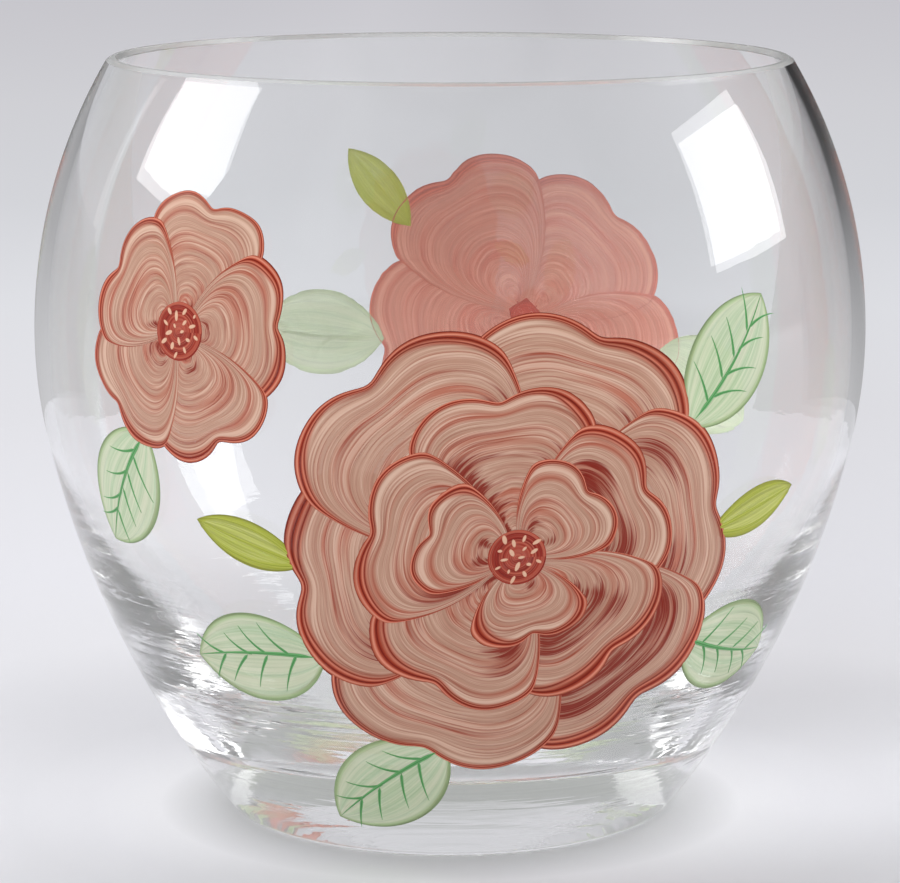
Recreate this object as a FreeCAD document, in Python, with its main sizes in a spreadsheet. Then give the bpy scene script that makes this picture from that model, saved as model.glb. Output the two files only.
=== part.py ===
import FreeCAD, Part
import math
import os

import Sketcher
from FreeCAD import Placement, Rotation, Vector

doc = FreeCAD.newDocument("rose_bowl_vase")

# Driving sizes, in millimetres, degrees, shares of a bloom's reach, and counts.
sizes = {
    # the glass outside, from its widest level up to the mouth and down to the foot
    "bowlRadius": 87.3,
    "bellyLevel": 102.3,
    "shoulderHeight": 57.7,
    "mouthInset": 16.1,
    "bellyCurve": 98.0,
    "bellyDrop": 20.4,
    "footInset": 40.9,
    "footRound": 5.0,
    # the glass inside, with its heavy floor and ground rim
    "bellyWall": 2.8,
    "rimWall": 2.6,
    "floorLevel": 20.0,
    "floorInset": 39.8,
    "floorRound": 9.0,
    "rimBevelOut": 0.6,
    "rimBevelIn": 1.0,
    # the paint, and where its three blooms sit: how far round the widest part of the wall, and how high
    "paintThickness": 0.2,
    "paintMargin": 3.0,
    "paintBand": 8.0,
    "largeBloomAcross": 13.7,
    "largeBloomLevel": 70.0,
    "smallBloomAcross": -56.4,
    "smallBloomLevel": 112.0,
    "backBloomAcross": -18.3,
    "backBloomLevel": 92.0,
    # petals: each bloom's reach, then each ring's share of it and how broad its petals are for their reach
    "largeReach": 45.0,
    "smallReach": 25.0,
    "backReach": 37.0,
    "outerShare": 1.0,
    "middleShare": 0.71,
    "innerShare": 0.44,
    "outerBreadth": 1.07,
    "middleBreadth": 1.16,
    "innerBreadth": 1.25,
    "outerCount": 6,
    "middleCount": 5,
    "innerCount": 3,
    "simpleCount": 5,
    "heartRadius": 6.0,
    "petalNotch": 2.0,
    "petalUnevenness": 0.05,
    "petalPhase": 137.5,
    # leaves and buds, which start a little way under the petals
    "leafLength": 32.0,
    "leafWidth": 20.0,
    "budLength": 25.0,
    "budWidth": 10.0,
    "petalOverlap": 3.0,
}

# Each bloom's side of the bowl, its cells, and its rings of petals from the outside in: name, cells for the
# count, the share and the breadth, and the direction of the first petal, clockwise from straight up.
blooms = {
    "large_bloom": {
        "sideTurn": 0,
        "across": "largeBloomAcross",
        "level": "largeBloomLevel",
        "reach": "largeReach",
        "rings": [
            ("outer_petal", "outerCount", "outerShare", "outerBreadth", 20),
            ("middle_petal", "middleCount", "middleShare", "middleBreadth", 352),
            ("inner_petal", "innerCount", "innerShare", "innerBreadth", 46),
        ],
    },
    "small_bloom": {
        "sideTurn": 0,
        "across": "smallBloomAcross",
        "level": "smallBloomLevel",
        "reach": "smallReach",
        "rings": [("petal", "simpleCount", "outerShare", "middleBreadth", 12)],
    },
    "back_bloom": {
        "sideTurn": 180,
        "across": "backBloomAcross",
        "level": "backBloomLevel",
        "reach": "backReach",
        "rings": [("petal", "simpleCount", "outerShare", "outerBreadth", 30)],
    },
}

# The right half of a petal, from its root out round the lobe, in shares of half its width and of its reach.
petalShape = {
    "root": (0.16, 0.10),
    "flank": (0.68, 0.36),
    "shoulder": (1.0, 0.72),
    "lobe": (0.68, 0.96),
}

# Each leaf and bud: its bloom, the direction from the bloom's middle to its base, and the way it points.
leaves = {
    "leaf_low": {"bloom": "large_bloom", "baseDirection": 192, "tipDirection": 232},
    "leaf_low_right": {"bloom": "large_bloom", "baseDirection": 120, "tipDirection": 104},
    "leaf_right": {"bloom": "large_bloom", "baseDirection": 56, "tipDirection": 38},
    "leaf_left": {"bloom": "large_bloom", "baseDirection": 238, "tipDirection": 264},
    "leaf_top_left": {"bloom": "small_bloom", "baseDirection": 204, "tipDirection": 216},
    "leaf_back_left": {"bloom": "back_bloom", "baseDirection": 98, "tipDirection": 82},
    "leaf_back_right": {"bloom": "back_bloom", "baseDirection": 262, "tipDirection": 246},
    "leaf_back_low": {"bloom": "back_bloom", "baseDirection": 158, "tipDirection": 176},
}
buds = {
    "bud_right": {"bloom": "large_bloom", "baseDirection": 88, "tipDirection": 74},
    "bud_left": {"bloom": "large_bloom", "baseDirection": 266, "tipDirection": 288},
    "bud_back": {"bloom": "back_bloom", "baseDirection": 52, "tipDirection": 40},
}

sheet = doc.addObject("Spreadsheet::Sheet", "Sizes")
for row, (alias, value) in enumerate(sizes.items(), start=1):
    sheet.set(f"A{row}", alias)
    sheet.set(f"B{row}", str(value))
    sheet.setAlias(f"B{row}", alias)
doc.recompute()


def size(alias):
    return float(getattr(sheet, alias))


bellyLevel = size("bellyLevel")
bowlHeight = bellyLevel + size("shoulderHeight")
mouthRadius = size("bowlRadius") - size("mouthInset")
footRadius = size("bowlRadius") - size("footInset")
innerRadius = size("bowlRadius") - size("bellyWall")
floorRadius = innerRadius - size("floorInset")
origin = Vector(0, 0, 0)
upward = Vector(0, 0, 1)


def uprightArc(widest, end):
    """Centre and radius of the arc that stands upright at the widest point and passes through the end."""
    inset = widest.x - end.x
    rise = end.y - widest.y
    radius = (inset**2 + rise**2) / (2 * inset)
    return Vector(widest.x - radius, widest.y, 0), radius


def wallArcs():
    """The outer wall as three tangent arcs, top to bottom: centre, radius, high point and low point."""
    mouth = Vector(mouthRadius, bowlHeight, 0)
    widest = Vector(size("bowlRadius"), bellyLevel, 0)
    foot = Vector(footRadius, 0, 0)
    bellyCurve = size("bellyCurve")
    drop = size("bellyDrop")
    bellyCentre = Vector(widest.x - bellyCurve, bellyLevel, 0)
    turn = Vector(bellyCentre.x + math.sqrt(bellyCurve**2 - drop**2), bellyLevel - drop, 0)
    inward = (bellyCentre - turn).normalize()
    run = foot - turn
    flankCurve = run.dot(run) / (2 * run.dot(inward))
    return [
        (*uprightArc(widest, mouth), mouth, widest),
        (bellyCentre, bellyCurve, widest, turn),
        (turn + inward * flankCurve, flankCurve, turn, foot),
    ]


def arcAt(level):
    """Centre and radius of the wall's arc at a level."""
    return next((centre, radius) for centre, radius, high, low in wallArcs() if level >= low.y)


def wallRadius(level):
    """How far the outside of the glass is from the axis at a level."""
    centre, radius = arcAt(level)
    return centre.x + math.sqrt(radius**2 - (level - centre.y) ** 2)


def wallNormal(level):
    """The outward direction square to the glass at a level, in the section's plane."""
    centre, radius = arcAt(level)
    return (Vector(wallRadius(level), level, 0) - centre).normalize()


def angleOf(point, centre):
    return math.atan2(point.y - centre.y, point.x - centre.x)


def glassProfile(body):
    """Half of the bowl's section, drawn against the axis with every size tied to the sheet."""
    sketch = body.newObject("Sketcher::SketchObject", "glass_profile")
    plane = next(f for f in body.Origin.OriginFeatures if f.Role == "XZ_Plane")
    sketch.AttachmentSupport = [(plane, "")]
    sketch.MapMode = "FlatFace"

    def addArc(centre, radius, high, low):
        circle = Part.Circle(centre, upward, radius)
        return sketch.addGeometry(Part.ArcOfCircle(circle, angleOf(low, centre), angleOf(high, centre)), False)

    def addLine(first, second):
        return sketch.addGeometry(Part.LineSegment(first, second), False)

    mouth = Vector(mouthRadius, bowlHeight, 0)
    foot = Vector(footRadius, 0, 0)
    rimInside = Vector(mouthRadius - size("rimWall"), bowlHeight, 0)
    innerWidest = Vector(innerRadius, bellyLevel, 0)
    floorCorner = Vector(floorRadius, size("floorLevel"), 0)
    floorMiddle = Vector(0, size("floorLevel"), 0)
    shoulder, belly, flank = [addArc(*arc) for arc in wallArcs()]
    throat = addArc(*uprightArc(innerWidest, rimInside), rimInside, innerWidest)
    cavity = addArc(*uprightArc(innerWidest, floorCorner), innerWidest, floorCorner)
    base = addLine(origin, foot)
    axis = addLine(origin, floorMiddle)
    floor = addLine(floorMiddle, floorCorner)
    rim = addLine(rimInside, mouth)

    start, end, middle = 1, 2, 3
    centrePoint = (-1, 1)
    shared = [
        ((base, start), centrePoint),
        ((axis, start), centrePoint),
        ((base, end), (flank, start)),
        ((belly, end), (shoulder, start)),
        ((shoulder, end), (rim, end)),
        ((rim, start), (throat, end)),
        ((throat, start), (cavity, end)),
        ((cavity, start), (floor, end)),
        ((floor, start), (axis, end)),
    ]
    for first, second in shared:
        sketch.addConstraint(Sketcher.Constraint("Coincident", *first, *second))
    level = [
        ((shoulder, middle), (shoulder, start)),
        ((belly, middle), (belly, end)),
        ((throat, middle), (throat, start)),
        ((cavity, middle), (cavity, end)),
        ((throat, start), (shoulder, start)),
    ]
    for first, second in level:
        sketch.addConstraint(Sketcher.Constraint("Horizontal", *first, *second))
    for line in (base, floor, rim):
        sketch.addConstraint(Sketcher.Constraint("Horizontal", line))
    sketch.addConstraint(Sketcher.Constraint("Vertical", axis))
    sketch.addConstraint(Sketcher.Constraint("Tangent", flank, end, belly, start))
    measures = [
        ("widestRadius", "DistanceX", centrePoint + (shoulder, start), "Sizes.bowlRadius"),
        ("widestLevel", "DistanceY", centrePoint + (shoulder, start), "Sizes.bellyLevel"),
        ("mouthRadius", "DistanceX", centrePoint + (shoulder, end), "Sizes.bowlRadius - Sizes.mouthInset"),
        ("rimLevel", "DistanceY", centrePoint + (shoulder, end), "Sizes.bellyLevel + Sizes.shoulderHeight"),
        ("bellyCurve", "Radius", (belly,), "Sizes.bellyCurve"),
        ("bellyDrop", "DistanceY", (belly, start, belly, end), "Sizes.bellyDrop"),
        ("footRadius", "DistanceX", centrePoint + (flank, start), "Sizes.bowlRadius - Sizes.footInset"),
        ("rimWall", "DistanceX", (rim, start, rim, end), "Sizes.rimWall"),
        ("bellyWall", "DistanceX", (cavity, end, shoulder, start), "Sizes.bellyWall"),
        ("floorLevel", "DistanceY", centrePoint + (floor, start), "Sizes.floorLevel"),
        ("floorInset", "DistanceX", (cavity, start, cavity, end), "Sizes.floorInset"),
    ]
    for name, kind, where, rule in measures:
        cells = rule.replace("Sizes.", "").split(" ")
        value = size(cells[0])
        if len(cells) == 3:
            value += size(cells[2]) * (1 if cells[1] == "+" else -1)
        number = sketch.addConstraint(Sketcher.Constraint(kind, *where, value))
        sketch.renameConstraint(number, name)
        sketch.setExpression(f"Constraints.{name}", rule)
    return sketch


def ringEdge(shape, radius, level):
    """The name of the full circle round the axis that lies nearest to a radius and a level."""

    def distance(number):
        edge = shape.Edges[number]
        if edge.Curve.TypeId != "Part::GeomCircle":
            return math.inf
        return math.hypot(edge.Curve.Radius - radius, edge.Curve.Center.z - level)

    return f"Edge{min(range(len(shape.Edges)), key=distance) + 1}"


def addGlass():
    """The blown bowl: its section turned about the axis, the foot and floor rounded, and the rim ground."""
    body = doc.addObject("PartDesign::Body", "glass_bowl")
    body.Label = "glass_bowl"
    sketch = glassProfile(body)
    glass = body.newObject("PartDesign::Revolution", "blown_wall")
    glass.Profile = sketch
    glass.ReferenceAxis = (sketch, ["V_Axis"])
    glass.Angle = 360
    doc.recompute()
    finishes = [
        ("foot_round", "PartDesign::Fillet", "Radius", "footRound", footRadius, 0),
        ("floor_round", "PartDesign::Fillet", "Radius", "floorRound", floorRadius, size("floorLevel")),
        ("rim_outside", "PartDesign::Chamfer", "Size", "rimBevelOut", mouthRadius, bowlHeight),
        ("rim_inside", "PartDesign::Chamfer", "Size", "rimBevelIn", mouthRadius - size("rimWall"), bowlHeight),
    ]
    for name, kind, setting, cell, radius, level in finishes:
        feature = body.newObject(kind, name)
        feature.Base = (glass, [ringEdge(glass.Shape, radius, level)])
        feature.setExpression(setting, f"Sizes.{cell}")
        glass.Visibility = False
        doc.recompute()
        glass = feature
    body.Tip = glass
    return body


def addPaintLayer():
    """A coat of paint's thickness over the outside, from which every stroke is cut.

    It is turned from short straight bands whose middles just clear the glass.
    """
    lowest = size("footRound")
    highest = bowlHeight - size("paintMargin")
    bands = math.ceil((highest - lowest) / size("paintBand"))
    levels = [lowest + (highest - lowest) * k / bands for k in range(bands + 1)]
    tightest = min(radius for _, radius, _, _ in wallArcs())
    lift = size("paintBand") ** 2 / (8 * tightest)
    outline = []
    for rows, offset in ((levels, lift), (reversed(levels), lift + size("paintThickness"))):
        for level in rows:
            point = Vector(wallRadius(level), level, 0) + wallNormal(level) * offset
            outline.append(Vector(point.x, 0, point.y))
    profile = doc.addObject("Part::Feature", "paint_profile")
    profile.Shape = Part.Face(Part.makePolygon(outline + outline[:1]))
    layer = doc.addObject("Part::Revolution", "paint_layer")
    layer.Source = profile
    layer.Axis = upward
    layer.Base = origin
    layer.Angle = 360
    layer.Solid = True
    return layer


def arcThrough(first, middle, last):
    return Part.Arc(Vector(*first, 0), Vector(*middle, 0), Vector(*last, 0)).toShape()


def petalFace(reach, width, direction):
    """A fan of paint that springs from the bloom's middle, with a shallow notch in its outer edge."""
    half = width / 2
    root, flank, shoulder, lobe = [(half * across, reach * up) for across, up in petalShape.values()]
    notch = (0, reach - size("petalNotch"))
    right = [arcThrough(root, flank, shoulder), arcThrough(shoulder, lobe, notch)]
    left = [edge.mirror(origin, Vector(1, 0, 0)) for edge in right]
    inner = Part.LineSegment(Vector(-root[0], root[1], 0), Vector(*root, 0)).toShape()
    face = Part.Face(Part.Wire(Part.__sortEdges__(right + left + [inner])))
    face.rotate(origin, upward, -direction)
    return face


def leafFace(length, width, direction):
    """A leaf-shaped dab, centred on its own middle, pointed at both ends."""
    base, tip = (0, -length / 2), (0, length / 2)
    sides = [arcThrough(base, (hand * width / 2, 0), tip) for hand in (-1, 1)]
    face = Part.Face(Part.Wire(Part.__sortEdges__(sides)))
    face.rotate(origin, upward, -direction)
    return face


def sprayPlane(turn, level):
    """An upright plane through the axis: across is level, up is up, and its normal points out at the turn."""
    return Placement(Vector(0, 0, level), Rotation(upward, turn) * Rotation(Vector(1, 0, 0), 90))


def addPrism(name, face, turn, level):
    """The outline's prism, from the axis out past the glass."""
    outline = doc.addObject("Part::Feature", f"{name}_outline")
    outline.Shape = face
    outline.Placement = sprayPlane(turn, level).multiply(face.Placement)
    prism = doc.addObject("Part::Extrusion", f"{name}_prism")
    prism.Base = outline
    prism.DirMode = "Custom"
    prism.Dir = outline.Placement.Rotation.multVec(upward)
    prism.setExpression("LengthFwd", "Sizes.bowlRadius + Sizes.footInset")
    prism.Solid = True
    return prism


def addFilm(name, prism, layer, cover=None):
    """One painted stroke: the part of the coat inside its outline, less what was painted over it."""
    film = doc.addObject("Part::Common", f"{name}_film")
    film.Base = layer
    film.Tool = prism
    if cover:
        whole = film
        film = doc.addObject("Part::Cut", f"{name}_seen")
        film.Base = whole
        film.Tool = cover
    film.Label = name
    return film


def bloomTurn(bloom):
    """How far round the bowl from the front a bloom's middle is, to the right seen from outside."""
    return bloom["sideTurn"] + math.degrees(size(bloom["across"]) / size("bowlRadius"))


def bloomStrokes(name, bloom):
    """A bloom's strokes from the outermost petals in to the heart, each as a name and a whole outline."""
    strokes = []
    for ring, countCell, shareCell, breadthCell, firstDirection in bloom["rings"]:
        count = int(size(countCell))
        reach = size(bloom["reach"]) * size(shareCell)
        for k in range(count):
            swell = 1 + size("petalUnevenness") * math.cos(math.radians(size("petalPhase")) * k)
            direction = firstDirection + 360 * k / count
            face = petalFace(reach * swell, reach * size(breadthCell), direction)
            strokes.append((f"{name}_{ring}_{k + 1}", face))
    heart = Part.Face(Part.Wire(Part.makeCircle(size("heartRadius"))))
    return strokes + [(f"{name}_heart", heart)]


def addBloom(name, bloom, layer):
    """Adds a bloom's films, each outline cut by those painted after it, and the prism of the whole bloom."""
    turn, level = bloomTurn(bloom), size(bloom["level"])
    strokes = bloomStrokes(name, bloom)
    films = []
    for k, (stroke, face) in enumerate(strokes):
        later = [other for _, other in strokes[k + 1 :]]
        seen = face.cut(later) if later else face
        largest = max(seen.Faces, key=lambda piece: piece.Area)
        films.append(addFilm(stroke, addPrism(stroke, largest, turn, level), layer))
    outerRing = [face for _, face in strokes[: int(size(bloom["rings"][0][1]))]]
    whole = outerRing[0].fuse(outerRing[1:]).removeSplitter()
    return films, addPrism(f"{name}_whole", whole, turn, level)


def addSprig(name, sprig, length, width, layer, cover):
    """A leaf or bud that comes out from under a bloom, drawn on the plane that faces its own middle."""
    bloom = blooms[sprig["bloom"]]
    reach = size(bloom["reach"]) - size("petalOverlap")
    base, point = math.radians(sprig["baseDirection"]), math.radians(sprig["tipDirection"])
    across = reach * math.sin(base) + length / 2 * math.sin(point)
    level = size(bloom["level"]) + reach * math.cos(base) + length / 2 * math.cos(point)
    turn = bloomTurn(bloom) + math.degrees(across / wallRadius(level))
    face = leafFace(length, width, sprig["tipDirection"])
    return addFilm(name, addPrism(name, face, turn, level), layer, cover)


glassBowl = addGlass()
paintLayer = addPaintLayer()
subparts = [glassBowl]
covers = {}
for bloomName, bloom in blooms.items():
    films, covers[bloomName] = addBloom(bloomName, bloom, paintLayer)
    subparts += films
for sprigs, kind in ((leaves, "leaf"), (buds, "bud")):
    for name, sprig in sprigs.items():
        length, width = size(f"{kind}Length"), size(f"{kind}Width")
        subparts.append(addSprig(name, sprig, length, width, paintLayer, covers[sprig["bloom"]]))
doc.recompute()

# Nothing is written unless every object solved and every sub-part is a sound solid.
for item in doc.Objects:
    if "Invalid" in item.State or "Error" in item.State:
        raise RuntimeError(f"{item.Label} failed: {item.State}")
for item in subparts:
    if item.Shape.isNull() or not item.Shape.isValid() or not item.Shape.Solids:
        raise RuntimeError(f"{item.Label} has no sound solid")

os.makedirs("parts", exist_ok=True)
for item in subparts:
    item.Shape.exportStep(f"parts/{item.Label}.step")
    print(f"{item.Label}: {len(item.Shape.Solids)} solid, {item.Shape.Volume:.1f} mm3")
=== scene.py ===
import math
import random

import bpy
import numpy as np
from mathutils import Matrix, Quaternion, Vector


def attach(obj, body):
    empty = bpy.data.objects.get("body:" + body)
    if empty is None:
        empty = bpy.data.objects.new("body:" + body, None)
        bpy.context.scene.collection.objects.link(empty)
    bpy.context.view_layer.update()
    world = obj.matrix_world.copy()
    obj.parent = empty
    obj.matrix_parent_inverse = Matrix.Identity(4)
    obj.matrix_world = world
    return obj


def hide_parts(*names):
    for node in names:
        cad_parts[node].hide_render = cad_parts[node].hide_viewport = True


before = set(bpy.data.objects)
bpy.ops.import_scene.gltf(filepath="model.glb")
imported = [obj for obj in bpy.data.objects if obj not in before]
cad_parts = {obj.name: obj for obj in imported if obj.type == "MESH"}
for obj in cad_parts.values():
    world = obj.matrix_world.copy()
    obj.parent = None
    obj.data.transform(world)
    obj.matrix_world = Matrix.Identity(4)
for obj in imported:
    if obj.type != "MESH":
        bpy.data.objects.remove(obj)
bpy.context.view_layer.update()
scene = bpy.context.scene
mm = 0.001


# small helpers

def linked(name, vertices, faces):
    mesh = bpy.data.meshes.new(name)
    mesh.from_pydata(vertices, [], faces)
    mesh.validate()
    mesh.polygons.foreach_set("use_smooth", [True] * len(mesh.polygons))
    piece = bpy.data.objects.new(name, mesh)
    scene.collection.objects.link(piece)
    return piece


def srgb(red, green, blue):
    # a colour as a picture gives it, 0 to 255, turned into linear light
    def straight(value):
        value /= 255
        return value / 12.92 if value <= 0.04045 else ((value + 0.055) / 1.055) ** 2.4
    return (straight(red), straight(green), straight(blue), 1.0)


def grey(value):
    return (value, value, value, 1.0)


def inColour(stops):
    return [(place, srgb(*colour)) for place, colour in stops]


def smoothStep(low, high, value):
    # from 0 at low to 1 at high, eased at both ends, for one value or many
    t = np.clip((value - low) / (high - low), 0, 1)
    return t * t * (3 - 2 * t)


def arcPoints(first, middle, last, count):
    # points on the circle through three points, evenly spaced, both ends included
    a, b, c = complex(*first), complex(*middle), complex(*last)
    shares = np.arange(count + 1) / count
    ratio = (c - a) / (b - a)
    if abs(ratio.imag) < 1e-12:
        made = a + (c - a) * shares
    else:
        centre = a + (b - a) * (ratio - abs(ratio) ** 2) / (2j * ratio.imag)
        half, turn = np.angle([(b - centre) / (a - centre), (c - centre) / (a - centre)]) % (2 * np.pi)
        made = centre + (a - centre) * np.exp(1j * (turn - 2 * np.pi * (half > turn)) * shares)
    return np.stack([made.real, made.imag], 1)


def evenly(points, count):
    # the same path with its points evenly spaced, and its length
    lengths = np.concatenate([[0.0], np.cumsum(np.hypot(*np.diff(points, axis=0).T))])
    targets = lengths[-1] * np.arange(count + 1) / count
    return np.stack([np.interp(targets, lengths, points[:, k]) for k in (0, 1)], 1), lengths[-1]


# the camera, at the photograph's distance and height
view = {"place": (0, -0.8, 0.2199), "pitch": 79.95, "lens": 153.0, "sensor": 36, "sight": 30}
cameraData = bpy.data.cameras.new("studioCamera")
cameraData.lens = view["lens"]
cameraData.sensor_width = view["sensor"]
cameraData.clip_end = view["sight"]
camera = bpy.data.objects.new("studioCamera", cameraData)
camera.location = view["place"]
camera.rotation_euler = (math.radians(view["pitch"]), 0, 0)
scene.collection.objects.link(camera)
scene.camera = camera
scene.view_settings.view_transform = "Standard"
glassBounces = 400  # light that enters at the rim turns some hundred times on its way down the wall
scene.cycles.max_bounces = glassBounces
scene.cycles.transmission_bounces = glassBounces
scene.cycles.glossy_bounces = glassBounces
scene.cycles.transparent_max_bounces = 24
print("camera ready")


# shader helpers

def feed(tree, node, values):
    # each value is a number, a colour or another node's result
    for slot, value in dict(values).items():
        if isinstance(value, (int, float, tuple)):
            node.inputs[slot].default_value = value
        else:
            tree.links.new(value, node.inputs[slot])


def addNode(tree, kind, values=()):
    node = tree.nodes.new("ShaderNode" + kind)
    feed(tree, node, values)
    return node


def newMaterial(name, values):
    material = bpy.data.materials.new(name)
    material.use_nodes = True
    tree = material.node_tree
    shader = tree.nodes["Principled BSDF"]
    feed(tree, shader, values)
    return material, tree, shader


def newGroup(name, inputs, outputs):
    # a node group with number sockets only, and its inside ends
    group = bpy.data.node_groups.new(name, "ShaderNodeTree")
    for slot, start in inputs.items():
        group.interface.new_socket(slot, in_out="INPUT", socket_type="NodeSocketFloat").default_value = start
    for slot in outputs:
        group.interface.new_socket(slot, in_out="OUTPUT", socket_type="NodeSocketFloat")
    return group, group.nodes.new("NodeGroupInput").outputs, group.nodes.new("NodeGroupOutput")


def useGroup(tree, group, values=()):
    node = tree.nodes.new("ShaderNodeGroup")
    node.node_tree = group
    feed(tree, node, values)
    return node.outputs


def calculate(tree, operation, first, second=0.5, clamp=False):
    node = addNode(tree, "Math", {0: first, 1: second})
    node.operation = operation
    node.use_clamp = clamp
    return node.outputs[0]


def product(tree, first, second, clamp=False):
    return calculate(tree, "MULTIPLY", first, second, clamp)


def total(tree, first, second):
    return calculate(tree, "ADD", first, second)


def offMiddle(tree, value, amount):
    # how far a share lies from one half, times an amount
    return product(tree, calculate(tree, "SUBTRACT", value, 0.5), amount)


def halved(tree, value):
    # from the range -1 to 1 to the range 0 to 1
    return total(tree, product(tree, value, 0.5), 0.5)


def isCount(tree, value, count):
    # 1 where a whole number has the given value
    same = calculate(tree, "COMPARE", value, count)
    same.node.inputs[2].default_value = 0.5
    return same


def parts(tree, vector):
    return addNode(tree, "SeparateXYZ", {0: vector}).outputs


def ramp(tree, source, stops):
    # each stop is a place and a grey level or a colour
    node = addNode(tree, "ValToRGB", {0: source})
    elements = node.color_ramp.elements
    while len(elements) < len(stops):
        elements.new(0.5)
    for element, (place, colour) in zip(elements, stops):
        element.position = place
        element.color = colour if isinstance(colour, tuple) else grey(colour)
    return node.outputs[0]


def mixColour(tree, factor, first, second, blend="MIX"):
    node = addNode(tree, "Mix")
    node.data_type = "RGBA"
    node.blend_type = blend
    feed(tree, node, {0: factor, 6: first, 7: second})
    return node.outputs[2]


def noiseAt(tree, place, detail, roughness=0.5):
    # a noise read at three coordinates, each a number or a node's result
    spot = addNode(tree, "CombineXYZ", dict(enumerate(place))).outputs[0]
    values = {"Vector": spot, "Scale": 1.0, "Detail": detail, "Roughness": roughness}
    return addNode(tree, "TexNoise", values).outputs[0]


def addBump(tree, shader, height, strength, distance):
    bump = addNode(tree, "Bump", {"Strength": strength, "Distance": distance, "Height": height})
    feed(tree, shader, {"Normal": bump.outputs[0]})


def showWhere(tree, shader, shown):
    # clear wherever shown is 0
    clear = addNode(tree, "BsdfTransparent")
    mix = addNode(tree, "MixShader", {0: shown, 1: clear.outputs[0], 2: shader.outputs[0]})
    feed(tree, tree.nodes["Material Output"], {0: mix.outputs[0]})


# a flat brush's marks; each noise has its scale along the stroke and across it, its detail and its shift
marks = {
    "drift": (0.35, 0.5, 2.0, 3.1), "driftShare": 0.25,
    "fine": (0.24, 1.7, 3.0, 0.4), "broad": (0.2, 0.42, 1.0, 7.7), "lines": (0.14, 1.25, 1.0, 12.3),
    "roughness": 0.6, "lineSharpness": 16.0, "lineGrowth": 1.6, "depths": (0.7, 0.5, 0.35),
}


def brushGroup():
    # reads the stroke's own texture place: centimetres along it and in from its edge
    starts = {"Fineness": 9.0, "Wander": 0.6, "Contrast": 1.0}
    group, inside, outside = newGroup("brushMarks", starts, ["Fine", "Broad", "Thin Lines", "Depth"])
    place = addNode(group, "UVMap")
    place.uv_map = "strokePlace"
    along, across, _ = parts(group, place.outputs[0])
    alongScale, acrossScale, detail, shift = marks["drift"]
    spot = (product(group, along, alongScale), product(group, across, acrossScale), shift)
    drift = offMiddle(group, noiseAt(group, spot, detail), inside["Wander"])
    wandered = total(group, across, product(group, drift, marks["driftShare"]))

    def streaks(alongScale, acrossScale, detail, shift):
        fineness = product(group, inside["Fineness"], acrossScale)
        spot = (product(group, along, alongScale), product(group, wandered, fineness), shift)
        return noiseAt(group, spot, detail, marks["roughness"])

    fine, broad, lines = [streaks(*marks[name]) for name in ("fine", "broad", "lines")]
    # thin lines where the third noise crosses its middle
    fold = calculate(group, "ABSOLUTE", calculate(group, "SUBTRACT", lines, 0.5))
    sharp = calculate(group, "SUBTRACT", 1.0, product(group, fold, marks["lineSharpness"]), clamp=True)
    masked = product(group, sharp, product(group, broad, marks["lineGrowth"]), clamp=True)
    thin = product(group, masked, inside["Contrast"], clamp=True)
    fineDepth, broadDepth, thinDepth = marks["depths"]
    depth = total(group, product(group, fine, fineDepth), product(group, broad, broadDepth))
    depth = calculate(group, "SUBTRACT", depth, product(group, thin, thinDepth))
    feed(group, outside, {"Fine": fine, "Broad": broad, "Thin Lines": thin, "Depth": depth})
    return group


brushMarks = brushGroup()


# how every paint lies: the stops are places in the brush's marks or from the edge of the stroke
coat = {
    "rootPull": 0.22, "bands": [(0.42, 0), (0.64, 1)], "paleStreaksAndCrestHighlights": [(0.44, 0), (0.62, 0.75)],
    "combFine": 3.4, "combBroad": 0.9, "combUnder": 1.12, "combStart": 0.62, "combGrowth": 2.5,
    "comb": [(0.0, 0), (0.40, 0.92)],
    "edgeGrain": [(0.36, (0.80, 0.76, 0.74, 1)), (0.60, 1.12)],
    "edge": [(0.0, 1), (0.66, 1), (0.96, 0)], "edgeWobble": 0.55, "edgeCover": 0.97,
    "rough": [(0.3, 0.24), (0.7, 0.42)], "coverPlaces": (0.30, 0.52), "sheen": 0.15, "relief": 0.00012,
}


def combedShare(tree, brush, under):
    # where the next ring of petals lies over a stroke, its darkest paint was combed out in bristle lines
    comb = offMiddle(tree, brush["Fine"], coat["combFine"])
    deeper = calculate(tree, "SUBTRACT", product(tree, under, coat["combUnder"]), coat["combStart"])
    comb = total(tree, comb, deeper)
    comb = total(tree, comb, offMiddle(tree, brush["Broad"], coat["combBroad"]))
    combed = ramp(tree, comb, coat["comb"])
    return product(tree, combed, product(tree, under, coat["combGrowth"], clamp=True))


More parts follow.
